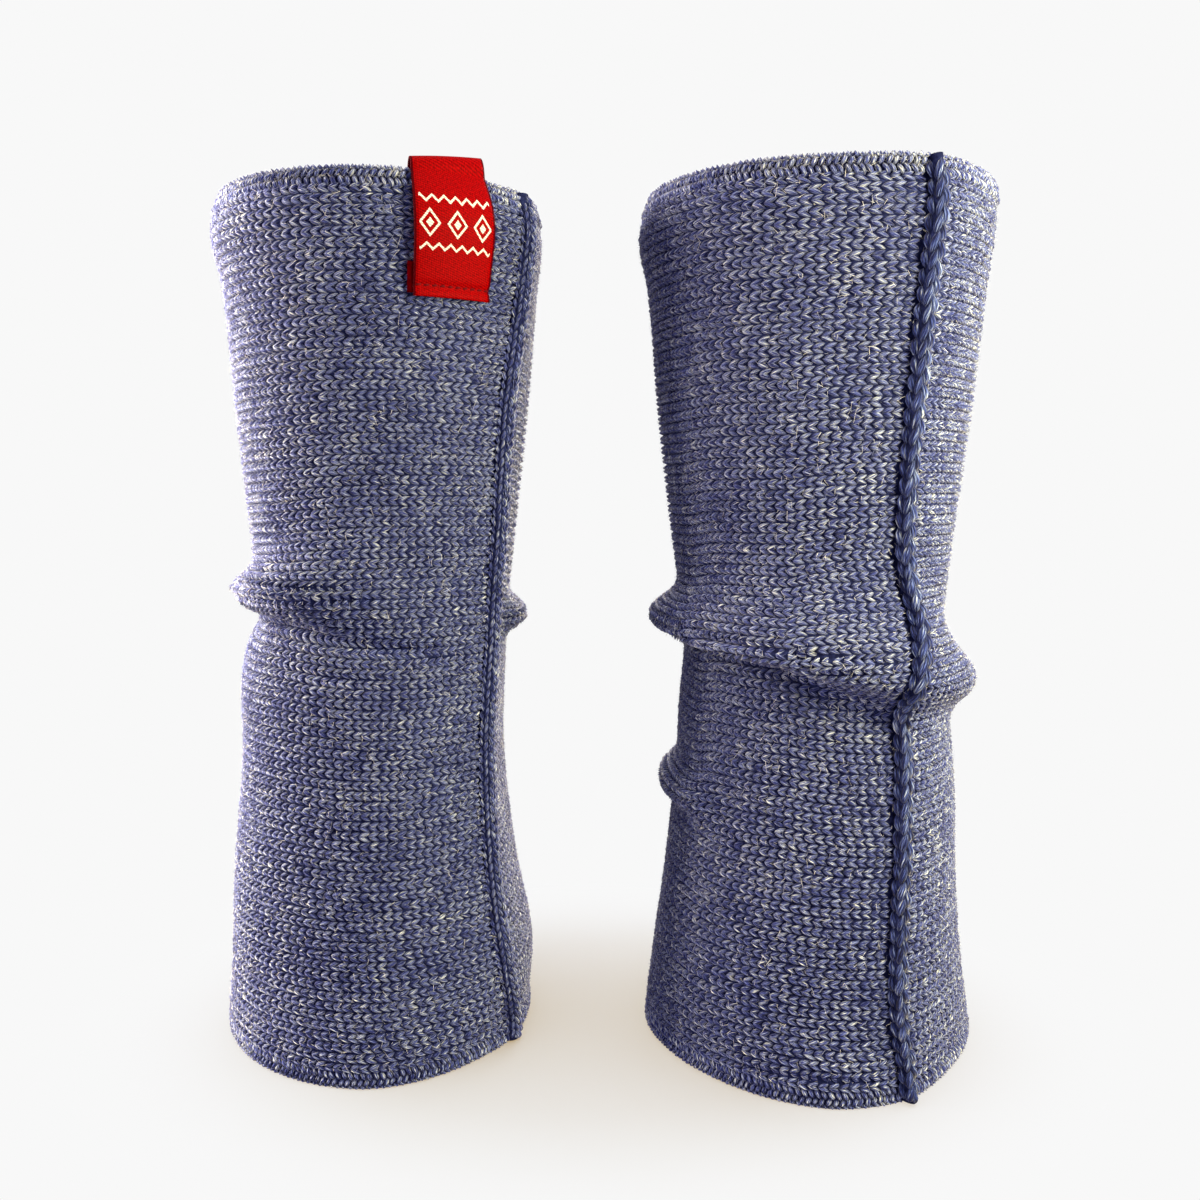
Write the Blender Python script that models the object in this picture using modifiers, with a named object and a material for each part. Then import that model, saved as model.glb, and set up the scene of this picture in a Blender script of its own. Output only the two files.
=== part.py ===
"""Pair of knitted arm warmers that stand side by side, hollow, with no wearer.

Each arm warmer is one knitted rectangle, closed to a tube by a seam that runs up
its outside. It has a selvedge at the top and a short ribbed edge at the bottom, and
the left one carries a ribbon label that is folded over its rim. The cloth is a
wall. Its middle surface is worked out from a table of sections and a table of
folds, and Solidify gives it its thickness.

Units are metres, +Z is up, -Y is the front. The origin is at the middle of the
pair's footprint, on the floor.
"""

import math

import bpy
import numpy as np

MM = 0.001

# Cloth
STANDING_HEIGHT = 200.0
WALL = 2.2
PIECE_GAP = 0.3
TOP_EDGE_HEIGHT = 2.8
BOTTOM_EDGE_HEIGHT = 3.2
CORNER_REACH = 17.0

# Seam: the two turned-out edges of the cloth, sewn together as one ridge
SEAM_WIDTH = 4.4
SEAM_CROWN = 0.9
SEAM_RAISE = 0.9
SEAM_THICKNESS = 3.0
SEAM_COLUMNS = np.array([-0.5, -0.2, 0.2, 0.5])
SEAM_SHAPE = np.array([0.0, 1.0, 1.0, 0.0])

# Ribbon label on the left rim
LABEL_AZIMUTH = 30.0
LABEL_WIDTH = 17.0
LABEL_DROP = 26.0
LABEL_INSIDE_DROP = 16.0
LABEL_THICKNESS = 0.8
LABEL_STAND_OFF = 0.5
LABEL_RISE = 3.3
# How much higher the fold of the ribbon stands on its right than on its left
LABEL_TILT = 2.2
LABEL_COLUMNS = 5
LABEL_TURN_ROWS = 5

# Mesh density
MERIDIANS = 241
MERIDIAN_POINTS = 601
COLUMNS = 42
ROW_STEP = 9.0
FOLD_ROW_STEP = 2.6
FOLD_ROWS_REACH = 14.0
DEEP_FOLD = 4.0
RIM_ROW_STEP = 4.0
RIM_ROWS_REACH = 20.0
NEXT_ROW = 0.01

# Azimuth is 0 at the front, 90 at the right, 180 at the back and -90 at the left.
# A section row is the middle of the cloth at one height: its reach from the tube's
# axis to each side, how square it is (2 is an ellipse), how far the seam's corner
# stands out, and the seam's azimuth.
SECTION_COLUMNS = ("height", "left", "right", "front", "back", "square", "corner", "seam")
LEFT_SECTIONS = (
    (0.0, 39.8, 34.4, 44.4, 41.5, 1.85, 1.0, 59.0),
    (5.0, 39.8, 34.4, 44.4, 41.5, 1.85, 1.0, 59.0),
    (16.0, 38.6, 35.2, 43.3, 41.5, 1.95, 1.5, 53.0),
    (40.0, 37.0, 31.0, 41.5, 41.0, 2.1, 2.2, 48.0),
    (70.0, 33.8, 28.0, 40.0, 40.5, 2.2, 2.5, 47.5),
    (90.0, 33.2, 28.7, 39.5, 40.0, 2.2, 2.5, 49.0),
    (96.0, 31.8, 29.0, 39.2, 40.0, 2.2, 2.5, 50.0),
    (102.0, 28.8, 29.3, 39.0, 40.0, 2.2, 2.5, 50.8),
    (118.0, 30.0, 31.0, 39.5, 40.0, 2.2, 2.5, 51.5),
    (150.0, 33.0, 34.6, 40.5, 40.5, 2.2, 2.5, 51.8),
    (180.0, 35.5, 37.2, 42.0, 41.0, 2.2, 2.0, 59.0),
    (192.0, 37.5, 38.2, 43.0, 41.5, 2.2, 1.5, 61.0),
    (200.0, 35.0, 36.5, 41.5, 41.0, 2.1, 1.0, 62.5),
)
RIGHT_SECTIONS = (
    (0.0, 38.6, 40.4, 46.0, 44.0, 1.72, 2.0, 21.0),
    (5.0, 38.4, 40.0, 46.0, 44.0, 1.72, 2.0, 20.5),
    (16.0, 37.0, 37.8, 44.3, 43.8, 1.95, 2.0, 18.0),
    (40.0, 33.7, 34.9, 43.5, 43.0, 2.1, 2.0, 17.0),
    (56.0, 31.9, 34.0, 42.7, 42.2, 2.2, 2.0, 18.0),
    (63.0, 31.2, 33.7, 42.5, 42.0, 2.2, 2.0, 18.0),
    (80.0, 30.4, 31.9, 42.0, 42.0, 2.2, 2.0, 18.0),
    (95.0, 29.3, 29.2, 42.0, 42.0, 2.2, 2.0, 16.5),
    (105.0, 30.4, 29.8, 42.5, 42.0, 2.2, 2.0, 18.5),
    (115.0, 31.8, 30.7, 43.0, 42.0, 2.2, 2.0, 16.5),
    (150.0, 36.1, 34.9, 44.5, 43.0, 2.2, 2.0, 17.0),
    (180.0, 38.8, 37.8, 45.5, 44.0, 2.2, 3.0, 19.0),
    (192.0, 40.7, 39.2, 46.0, 44.0, 2.2, 3.0, 20.0),
    (200.0, 38.3, 39.0, 44.8, 43.5, 2.1, 3.0, 20.0),
)

# A fold row is a ridge that runs round the tube: the azimuth of its middle, how far
# it runs to each side of that, its mean height, how far it is tilted and which side
# is high, its reach out of the wall, the cloth that it takes below its crest, how
# much more it takes there on its right, the cloth that it takes above, and how much
# more it takes above at the front.
FOLD_COLUMNS = (
    "azimuth", "spread_left", "spread_right", "height", "tilt", "high_side", "reach",
    "below", "slack", "above", "longer",
)
LEFT_FOLDS = (
    (-110.0, 110.0, 140.0, 109.9, 0.0, 0.0, 7.0, 8.2, 4.6, 9.6, 10.0),
    (115.0, 55.0, 80.0, 102.0, 0.0, 0.0, 5.0, 8.0, 0.0, 9.0, 0.0),
)
RIGHT_FOLDS = (
    (-40.0, 130.0, 170.0, 95.9, 5.9, -90.0, 8.2, 10.0, 5.2, 14.0, 14.0),
    (-90.0, 60.0, 60.0, 62.0, 0.0, 0.0, 4.2, 7.5, 0.0, 8.5, 0.0),
)
SLACK_START = 20.0
SLACK_WIDTH = 50.0
FRONT_WIDTH = 45.0
# Under 1 the cloth turns sharply at a crest and eases off away from it
LIP = 0.8

LEFT_CENTRE = (-52.2, 6.0)
RIGHT_CENTRE = (51.3, -1.0)
LEFT_RIM_DIP = 1.6
RIGHT_RIM_DIP = 0.6

# Steepest angle and reach of a fold, whose lean is a sine that is drawn towards its crest
STEEPEST = np.linspace(0.0, 1.95, 80)
TURN = math.pi * np.linspace(0.0, 1.0, 121) ** LIP
REACH_PER_LENGTH = np.array([np.mean(np.sin(steep * np.sin(TURN))) for steep in STEEPEST])


def smooth_rows(table, columns, name, height):
    """One column of a section table at the given heights, on a smooth curve."""
    heights = np.array([row[0] for row in table])
    values = np.array([row[columns.index(name)] for row in table])
    slopes = np.gradient(values, heights)
    height = np.clip(height, heights[0], heights[-1])
    index = np.clip(np.searchsorted(heights, height, side="right") - 1, 0, len(heights) - 2)
    span = heights[index + 1] - heights[index]
    t = (height - heights[index]) / span
    return (
        (2 * t**3 - 3 * t**2 + 1) * values[index]
        + (t**3 - 2 * t**2 + t) * span * slopes[index]
        + (3 * t**2 - 2 * t**3) * values[index + 1]
        + (t**3 - t**2) * span * slopes[index + 1]
    )


def wrapped(angle):
    """Angle in degrees brought between -180 and 180."""
    return (np.asarray(angle) + 180.0) % 360.0 - 180.0


def smoothstep(x):
    x = min(max(x, 0.0), 1.0)
    return x * x * (3.0 - 2.0 * x)


def fold_share(fold, azimuth):
    """How much of a fold is there at an azimuth, from 0 at its ends to 1."""
    off = wrapped(azimuth - fold["azimuth"])
    spread = np.where(off < 0.0, fold["spread_left"], fold["spread_right"])
    x = np.clip(2.0 * np.abs(off) / spread - 1.0, 0.0, 1.0)
    return 1.0 - x * x * x * (x * (x * 6.0 - 15.0) + 10.0)


class Tube:
    """The middle surface of one arm warmer."""

    def __init__(self, centre, sections, folds, rim_dip):
        self.centre = centre
        self.rim_dip = rim_dip
        self.sections = sections
        self.folds = [dict(zip(FOLD_COLUMNS, row)) for row in folds]
        self.folds.sort(key=lambda fold: fold["height"])
        self.build()

    def column(self, name, height):
        return smooth_rows(self.sections, SECTION_COLUMNS, name, height)

    def build(self):
        """Meridians at even azimuths, each a path of cloth from hem to rim."""
        azimuth = np.linspace(-180.0, 180.0, MERIDIANS)
        paths = []
        for angle in azimuth:
            paths.append(self.meridian(angle))
        self.azimuth = azimuth
        self.paths = np.array(paths)

    def meridian(self, azimuth):
        """Points (x, y, z) along the cloth at one azimuth, at even cloth lengths."""
        bends = []
        taken = 0.0
        for fold in self.folds:
            off = float(wrapped(azimuth - fold["azimuth"]))
            reach = fold["reach"] * float(fold_share(fold, azimuth))
            tilt = math.cos(math.radians(azimuth - fold["high_side"]))
            height = fold["height"] + fold["tilt"] * tilt
            slack = smoothstep((off - SLACK_START) / SLACK_WIDTH)
            front = math.exp(-((azimuth / FRONT_WIDTH) ** 2))
            length_of = {
                "below": fold["below"] + fold["slack"] * slack,
                "above": fold["above"] + fold["longer"] * front,
            }
            steep = {}
            used = {}
            for side in ("below", "above"):
                share = min(abs(reach) / length_of[side], REACH_PER_LENGTH[-1])
                angle = float(np.interp(share, REACH_PER_LENGTH, STEEPEST))
                steep[side] = math.copysign(angle, reach)
                used[side] = length_of[side] * (1.0 - np.mean(np.cos(angle * np.sin(TURN))))
            crest = height + taken + used["below"]
            taken += used["below"] + used["above"]
            bends.append((crest, length_of["below"], length_of["above"], steep["below"], steep["above"]))
        length = STANDING_HEIGHT + taken
        along = np.linspace(0.0, length, MERIDIAN_POINTS)
        lean = np.zeros(MERIDIAN_POINTS)
        for crest, below, above, steep_below, steep_above in bends:
            down = np.clip((crest - along) / below, 0.0, 1.0)
            up = np.clip((along - crest) / above, 0.0, 1.0)
            lean += steep_below * np.sin(math.pi * down**LIP)
            lean -= steep_above * np.sin(math.pi * up**LIP)
        step = np.diff(along)
        middle = 0.5 * (lean[1:] + lean[:-1])
        out = np.concatenate(([0.0], np.cumsum(np.sin(middle) * step)))
        rise = np.concatenate(([0.0], np.cumsum(np.cos(middle) * step)))
        rim = STANDING_HEIGHT - self.rim_dip * math.sin(math.radians(azimuth)) ** 2
        rise *= rim / rise[-1]
        out -= out[-1] * along / length
        reach = self.section_reach(rise, azimuth) + out
        angle = math.radians(azimuth)
        return np.stack(
            (
                self.centre[0] + reach * math.sin(angle),
                self.centre[1] - reach * math.cos(angle),
                rise,
            ),
            axis=1,
        )

    def section_reach(self, height, azimuth):
        """Distance from the axis to the cloth, before any fold."""
        side = self.column("right" if math.sin(math.radians(azimuth)) > 0 else "left", height)
        face = self.column("front" if math.cos(math.radians(azimuth)) > 0 else "back", height)
        square = self.column("square", height)
        across = np.abs(math.sin(math.radians(azimuth)) / side) ** square
        along = np.abs(math.cos(math.radians(azimuth)) / face) ** square
        reach = (across + along) ** (-1.0 / square)
        off = wrapped(azimuth - self.column("seam", height))
        return reach + self.column("corner", height) * np.exp(-(off / CORNER_REACH) ** 2)

    def ring(self, row):
        """Closed ring of points at one share of the cloth's length, from the seam round."""
        place = row * (MERIDIAN_POINTS - 1)
        low = int(min(math.floor(place), MERIDIAN_POINTS - 2))
        points = self.paths[:, low] + (self.paths[:, low + 1] - self.paths[:, low]) * (place - low)
        seam = float(self.column("seam", points[:, 2].mean()))
        turned = (self.azimuth[:-1] - seam) % 360.0
        order = np.argsort(turned)
        points = points[:-1][order]
        turned = turned[order]
        share = turned[0] / (turned[0] + 360.0 - turned[-1])
        start = points[0] + (points[-1] - points[0]) * share
        points = np.vstack((start, points, start))
        steps = np.linalg.norm(np.diff(points, axis=0), axis=1)
        return points, np.concatenate(([0.0], np.cumsum(steps)))

    def points(self, row, around):
        """Points at lengths round the ring from the seam, at one share of the cloth."""
        points, lengths = self.ring(row)
        places = np.asarray(around) % lengths[-1]
        return np.stack([np.interp(places, lengths, points[:, i]) for i in range(3)], axis=1)

    def place(self, row, azimuth):
        """Length round the ring from the seam to an azimuth."""
        points, lengths = self.ring(row)
        angles = np.degrees(np.arctan2(points[:, 0] - self.centre[0], self.centre[1] - points[:, 1]))
        turned = (angles - angles[0]) % 360.0
        turned[-1] = 360.0
        return float(np.interp((azimuth - angles[0]) % 360.0, turned, lengths))

    def girth(self, row):
        return float(self.ring(row)[1][-1])


def panel_rows(tube):
    """Rows of the panel's mesh, close together where the cloth folds."""
    low = (BOTTOM_EDGE_HEIGHT + PIECE_GAP) / STANDING_HEIGHT
    high = 1.0 - (TOP_EDGE_HEIGHT + PIECE_GAP) / STANDING_HEIGHT
    folds = [fold["height"] for fold in tube.folds if fold["reach"] > DEEP_FOLD]
    rows = [low]
    while rows[-1] < high:
        height = rows[-1] * STANDING_HEIGHT
        step = ROW_STEP
        if height > STANDING_HEIGHT - RIM_ROWS_REACH:
            step = RIM_ROW_STEP
        if min(abs(height - level) for level in folds) < FOLD_ROWS_REACH:
            step = FOLD_ROW_STEP
        rows.append(rows[-1] + step / STANDING_HEIGHT)
    rows = np.array(rows)
    return low + (rows - low) * (high - low) / (rows[-1] - low)


def grid_object(name, points):
    """Mesh of quads over rows of points."""
    row_count, column_count = len(points), len(points[0])
    vertices = [tuple(float(v) * MM for v in p) for row in points for p in row]
    faces = []
    for row in range(row_count - 1):
        for column in range(column_count - 1):
            low = row * column_count + column
            high = low + column_count
            faces.append((low, low + 1, high + 1, high))
    mesh = bpy.data.meshes.new(name)
    mesh.from_pydata(vertices, [], faces)
    mesh.update()
    return bpy.data.objects.new(name, mesh)


def thicken(item, thickness):
    """Half of the thickness on each side of the mesh."""
    solidify = item.modifiers.new("Cloth thickness", "SOLIDIFY")
    solidify.thickness = thickness * MM
    solidify.offset = 0.0
    solidify.use_even_offset = False
    return item


def material(name, colour, roughness):
    made = bpy.data.materials.new(name)
    made.use_nodes = True
    shader = made.node_tree.nodes["Principled BSDF"]
    shader.inputs["Base Color"].default_value = (*colour, 1.0)
    shader.inputs["Roughness"].default_value = roughness
    shader.inputs["Metallic"].default_value = 0.0
    return made


def panel_width(tube, row):
    """Lengths round the ring across the panel, from one side of the seam to the other."""
    margin = SEAM_WIDTH / 2 + PIECE_GAP
    return np.linspace(margin, tube.girth(row) - margin, COLUMNS + 1)


def make_panel(tube, name):
    rows = [tube.points(row, panel_width(tube, row)) for row in panel_rows(tube)]
    return thicken(grid_object(name, rows), WALL)


def make_top_edge(tube, name):
    low = 1.0 - TOP_EDGE_HEIGHT / STANDING_HEIGHT
    rows = [tube.points(row, panel_width(tube, row)) for row in (low, 1.0)]
    return thicken(grid_object(name, rows), WALL)


def make_bottom_edge(tube, name):
    """Upright band, so that its lower face is flat on the floor."""
    row = BOTTOM_EDGE_HEIGHT / STANDING_HEIGHT / 2
    rows = []
    for height in (0.0, BOTTOM_EDGE_HEIGHT):
        points = tube.points(row, panel_width(tube, row))
        points[:, 2] = height
        rows.append(points)
    return thicken(grid_object(name, rows), WALL)


def outward(across, along):
    """Unit normal that points out of the tube, from the two directions in the cloth."""
    normal = np.cross(across, along)
    return normal / np.linalg.norm(normal, axis=-1, keepdims=True)


def raised(points, heights):
    """A grid of points moved out of the cloth by a height for each column."""
    points = np.array(points)
    across = np.gradient(points, axis=1)
    along = np.gradient(points, axis=0)
    return points + outward(across, along) * np.asarray(heights)[..., None]


def make_seam(tube, name):
    """Ridge from the floor to the rim, upright and flat where it stands."""
    foot_row = BOTTOM_EDGE_HEIGHT / STANDING_HEIGHT / 2
    rows = [foot_row, foot_row, *panel_rows(tube)[1:], 1.0]
    points = np.array([tube.points(row, SEAM_COLUMNS * SEAM_WIDTH) for row in rows])
    points[0, :, 2] = 0.0
    points[1, :, 2] = BOTTOM_EDGE_HEIGHT
    ridge = raised(points, SEAM_RAISE + SEAM_CROWN * SEAM_SHAPE)
    ridge[0:2, :, 0:2] = ridge[0, :, 0:2]
    ridge[0, :, 2] = 0.0
    return thicken(grid_object(name, ridge), SEAM_THICKNESS)


def label_leg(tube, drop, off):
    """Rows of points on the tube's side of the label, from the rim down, moved out."""
    rows = [1.0, *[row for row in panel_rows(tube)[::-1] if row > 1.0 - drop / STANDING_HEIGHT]]
    rows.append(1.0 - drop / STANDING_HEIGHT)
    leg = []
    for row in rows:
        places = tube.place(row, LABEL_AZIMUTH) + np.linspace(-0.5, 0.5, LABEL_COLUMNS) * LABEL_WIDTH
        here = tube.points(row, places)
        lower = tube.points(row - NEXT_ROW, places)
        leg.append(here + outward(np.gradient(here, axis=0), here - lower) * off)
    return leg


def make_label(tube, name):
    """Ribbon folded over the rim: one leg outside and a shorter one inside."""
    clear = WALL / 2 + PIECE_GAP + LABEL_THICKNESS / 2
    outside = label_leg(tube, LABEL_DROP, clear + LABEL_STAND_OFF)
    inside = label_leg(tube, LABEL_INSIDE_DROP, -clear)
    outer, inner = outside[0], inside[0]
    tilt = np.linspace(-0.5, 0.5, LABEL_COLUMNS) * LABEL_TILT
    crown = PIECE_GAP + LABEL_THICKNESS / 2 + LABEL_RISE + tilt
    turn = []
    for angle in np.linspace(0.0, math.pi, LABEL_TURN_ROWS + 2)[1:-1]:
        points = (outer + inner) / 2 + (outer - inner) / 2 * math.cos(angle)
        points[:, 2] += math.sin(angle) * crown
        turn.append(points)
    return thicken(grid_object(name, outside[::-1] + turn + inside), LABEL_THICKNESS)


def main():
    for item in list(bpy.data.objects):
        bpy.data.objects.remove(item, do_unlink=True)
    collection = bpy.data.collections.new("Arm warmers")
    bpy.context.scene.collection.children.link(collection)
    knit = material("Heather blue knit", (0.16, 0.19, 0.42), 0.9)
    sewn = material("Dark blue seam yarn", (0.06, 0.08, 0.26), 0.9)
    ribbon = material("Red woven ribbon", (0.64, 0.0, 0.01), 0.55)
    tubes = {
        "left": Tube(LEFT_CENTRE, LEFT_SECTIONS, LEFT_FOLDS, LEFT_RIM_DIP),
        "right": Tube(RIGHT_CENTRE, RIGHT_SECTIONS, RIGHT_FOLDS, RIGHT_RIM_DIP),
    }
    for side, tube in tubes.items():
        pieces = (
            (make_panel(tube, side + "_panel"), knit),
            (make_top_edge(tube, side + "_top_edge"), knit),
            (make_bottom_edge(tube, side + "_bottom_edge"), knit),
            (make_seam(tube, side + "_seam"), sewn),
        )
        for piece, finish in pieces:
            piece.data.materials.append(finish)
            collection.objects.link(piece)
    label = make_label(tubes["left"], "left_label")
    label.data.materials.append(ribbon)
    collection.objects.link(label)
    for item in collection.objects:
        item.data.shade_smooth()
        item.data.set_sharp_from_angle(angle=math.radians(50.0))


main()
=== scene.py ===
# Pair of knitted arm warmers: the looks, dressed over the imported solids.
# The knit lies sideways, so its rows run round the tubes, and every stitch is modelled.
import math

import bpy
import numpy as np
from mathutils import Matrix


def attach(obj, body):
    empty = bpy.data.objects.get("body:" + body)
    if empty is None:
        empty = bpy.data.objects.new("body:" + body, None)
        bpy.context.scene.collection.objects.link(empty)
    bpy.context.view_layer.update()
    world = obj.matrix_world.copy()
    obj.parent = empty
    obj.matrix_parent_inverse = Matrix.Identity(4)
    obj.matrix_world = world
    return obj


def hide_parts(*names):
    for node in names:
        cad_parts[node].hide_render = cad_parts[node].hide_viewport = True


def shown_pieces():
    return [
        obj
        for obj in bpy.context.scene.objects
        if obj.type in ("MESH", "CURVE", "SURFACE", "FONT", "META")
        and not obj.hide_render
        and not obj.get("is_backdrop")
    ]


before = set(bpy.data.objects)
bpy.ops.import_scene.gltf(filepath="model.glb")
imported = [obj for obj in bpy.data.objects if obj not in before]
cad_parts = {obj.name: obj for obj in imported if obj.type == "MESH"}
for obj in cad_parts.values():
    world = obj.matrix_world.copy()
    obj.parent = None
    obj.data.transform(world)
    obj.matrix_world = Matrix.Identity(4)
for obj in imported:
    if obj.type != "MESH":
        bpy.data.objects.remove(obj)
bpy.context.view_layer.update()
mm = 0.001
rng = np.random.default_rng(23)

# Photo frame
camera = {
    "place": (0.8, -314.0, 139.5),  # millimetres, as all sizes below
    "tiltDown": 6.2,  # degrees
    "focalPixels": 1298.0,
    "framePixels": 1200.0,
    "sensor": 36.0,
}
bpy.ops.object.select_all(action="DESELECT")
bpy.ops.object.camera_add(
    location=[v * mm for v in camera["place"]],
    rotation=(math.radians(90.0 - camera["tiltDown"]), 0.0, 0.0),
)
photoCamera = bpy.context.object
photoCamera.data.sensor_width = camera["sensor"]
photoCamera.data.lens = camera["sensor"] * camera["focalPixels"] / camera["framePixels"]
photoCamera.data.clip_start = 0.01
bpy.context.scene.camera = photoCamera
print("camera set")


def hexColour(code):  # sRGB hex to linear
    parts = [int(code[i : i + 2], 16) / 255 for i in (1, 3, 5)]
    return [c / 12.92 if c <= 0.04045 else ((c + 0.055) / 1.055) ** 2.4 for c in parts] + [1.0]


def addNode(tree, kind, settings=None, inputs=None):
    made = tree.nodes.new(kind)
    for key, value in (settings or {}).items():
        setattr(made, key, value)
    for key, value in (inputs or {}).items():
        if isinstance(value, bpy.types.NodeSocket):
            tree.links.new(value, made.inputs[key])
        else:
            made.inputs[key].default_value = value
    return made


def newMaterial(name, roughness, sheen=0.0, sheenColour="#FFFFFF"):
    made = bpy.data.materials.new(name)
    made.use_nodes = True
    shader = made.node_tree.nodes["Principled BSDF"]
    shader.inputs["Roughness"].default_value = roughness
    shader.inputs["Specular IOR Level"].default_value = 0.1
    shader.inputs["Sheen Weight"].default_value = sheen
    shader.inputs["Sheen Roughness"].default_value = 0.45
    shader.inputs["Sheen Tint"].default_value = hexColour(sheenColour)
    return made, made.node_tree, shader


def mixOf(tree, factor, first, second):
    inputs = {0: factor, 6: first, 7: second}
    return addNode(tree, "ShaderNodeMix", {"data_type": "RGBA"}, inputs).outputs[2]


def rampOf(tree, factor, stops):
    ramp = addNode(tree, "ShaderNodeValToRGB", inputs={"Fac": factor})
    marks = ramp.color_ramp.elements
    while len(marks) < len(stops):
        marks.new(0.5)
    for mark, (place, code) in zip(marks, stops):
        mark.position = place
        mark.color = hexColour(code)
    return ramp.outputs["Color"]


def mathNode(tree, operation, first, second=0.0, third=0.5):
    made = addNode(tree, "ShaderNodeMath", {"operation": operation}, {0: first, 1: second, 2: third})
    return made.outputs[0]


def objectPlace(tree):
    return addNode(tree, "ShaderNodeTexCoord").outputs["Object"]


def clothPlace(tree):
    return addNode(tree, "ShaderNodeUVMap", {"uv_map": "UVMap"}).outputs[0]


def axesOf(tree, vector):
    return list(addNode(tree, "ShaderNodeSeparateXYZ", inputs={0: vector}).outputs)


def noiseOf(tree, vector, scale, detail, roughness=0.5):
    inputs = {"Vector": vector, "Scale": scale, "Detail": detail, "Roughness": roughness}
    return addNode(tree, "ShaderNodeTexNoise", inputs=inputs).outputs["Fac"]


def addBump(tree, shader, height, strength, distance):
    inputs = {"Height": height, "Strength": strength, "Distance": distance * mm}
    bump = addNode(tree, "ShaderNodeBump", inputs=inputs)
    tree.links.new(bump.outputs[0], shader.inputs["Normal"])


# Stage: a paper floor inside a white tent. The tent's light is cool, and the paper adds a warm
# glow of its own that evens it out, so it is white in the open and warm where the tubes shade it.
stage = {
    "size": 6000.0, "white": 0.939,
    "glow": (0.46, 0.34, 0.16), "lift": 1.1,
    "paper": (0.045, 0.1),  # metres from the middle: shaded by the tubes, plain glow
    "tint": (0.97, 0.93, 1.22), "level": 0.62, "sky": 0.1, "ground": 0.1,
    "top": 2.0, "topSpread": 50.0, "aim": (0.0, 0.0, 100.0),
    # name: place, size, watts, colour
    "sides": {
        "Near right light": ((206.0, -162.0, 195.0), 150.0, 1.75, (1.0, 0.96, 0.66)),
        "Near left light": ((-268.0, -18.0, 195.0), 150.0, 3.3, (1.0, 0.9, 0.72)),
        "Back light": ((90.0, 250.0, 195.0), 150.0, 3.0, (1.0, 0.92, 0.78)),
    },
}


def aimAt(place, target):
    aim = np.array(target) - np.array(place)
    return math.atan2(math.hypot(aim[0], aim[1]), -aim[2]), 0.0, math.atan2(-aim[0], aim[1])


def makeStage():
    bpy.ops.mesh.primitive_circle_add(vertices=64, radius=stage["size"] * mm, fill_type="NGON")
    floor = bpy.context.object
    floor.name = "Studio_floor"
    made, tree, shader = newMaterial("Matt white paper floor", 0.9)  # paper gives no gloss
    shader.inputs["Specular IOR Level"].default_value = 0.0
    paper = []
    skyMean = stage["sky"] * 2.0 / 3.0  # it fades towards the horizon
    for glow, tint in zip(stage["glow"], stage["tint"]):
        soft = (stage["level"] + skyMean) * stage["white"] * tint
        paper.append((stage["white"] - glow) / (soft + stage["top"] / math.pi) * stage["lift"])
    oval = (0.8, 1.0, 0.0)  # the pair is wider than it is deep
    flat = addNode(
        tree, "ShaderNodeVectorMath", {"operation": "MULTIPLY"}, {0: objectPlace(tree), 1: oval}
    )
    away = addNode(tree, "ShaderNodeVectorMath", {"operation": "LENGTH"}, {0: flat.outputs[0]})
    near, far = stage["paper"]
    fade = addNode(
        tree,
        "ShaderNodeMapRange",
        {"interpolation_type": "SMOOTHSTEP"},
        {"Value": away.outputs["Value"], "From Min": near, "From Max": far},
    )
    white, black = (*[stage["white"]] * 3, 1.0), (0.0, 0.0, 0.0, 1.0)
    takes = mixOf(tree, fade.outputs[0], (*paper, 1.0), black)
    glows = mixOf(tree, fade.outputs[0], (*stage["glow"], 1.0), white)
    tree.links.new(takes, shader.inputs["Base Color"])
    tree.links.new(glows, shader.inputs["Emission Color"])
    shader.inputs["Emission Strength"].default_value = 1.0
    floor.data.materials.append(made)
    bpy.ops.mesh.primitive_uv_sphere_add(segments=48, ring_count=24, radius=stage["size"] * mm)
    tent = bpy.context.object
    tent.name = "Studio_tent"
    made, tree, shader = newMaterial("White tent cloth", 0.9)
    shader.inputs["Base Color"].default_value = black
    shader.inputs["Specular IOR Level"].default_value = 0.0
    shader.inputs["Emission Color"].default_value = white
    shader.inputs["Emission Strength"].default_value = 1.0
    tent.data.materials.append(made)
    for part in (floor, tent):
        part.visible_diffuse = part.visible_glossy = part.visible_shadow = False
        part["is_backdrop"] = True
    world = bpy.data.worlds.new("Soft studio")
    bpy.context.scene.world = world
    world.use_nodes = True
    tree = world.node_tree
    sky = tree.nodes["Background"]
    sky.inputs["Color"].default_value = (*[stage["white"] * tint for tint in stage["tint"]], 1.0)
    # More light from above than from below
    around = addNode(tree, "ShaderNodeTexCoord")
    height = axesOf(tree, around.outputs["Generated"])[2]
    upper = mathNode(tree, "MAXIMUM", height, 0.0)
    lower = mathNode(tree, "MINIMUM", height, 0.0)
    strength = mathNode(tree, "MULTIPLY_ADD", upper, stage["sky"], stage["level"])
    strength = mathNode(tree, "MULTIPLY_ADD", lower, stage["ground"], strength)
    tree.links.new(strength, sky.inputs["Strength"])
    bpy.context.scene.view_settings.view_transform = "Standard"
    bpy.ops.object.light_add(type="SUN")
    above = bpy.context.object
    above.name = "Top light"
    above.data.angle = math.radians(stage["topSpread"])
    above.data.energy = stage["top"]
    for name, (place, size, watts, colour) in stage["sides"].items():
        turned = aimAt(place, stage["aim"])
        bpy.ops.object.light_add(type="AREA", location=[v * mm for v in place], rotation=turned)
        lamp = bpy.context.object
        lamp.name = name
        lamp.data.size = size * mm
        lamp.data.energy = watts
        lamp.data.color = colour
        # Flags keep the side lights off the floor
        unlit = bpy.data.collections.new(lamp.name + " flags")
        unlit.objects.link(floor)
        lamp.light_linking.receiver_collection = unlit
        unlit.collection_objects[0].light_linking.link_state = "EXCLUDE"


makeStage()
print("stage and lamps set")

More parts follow.
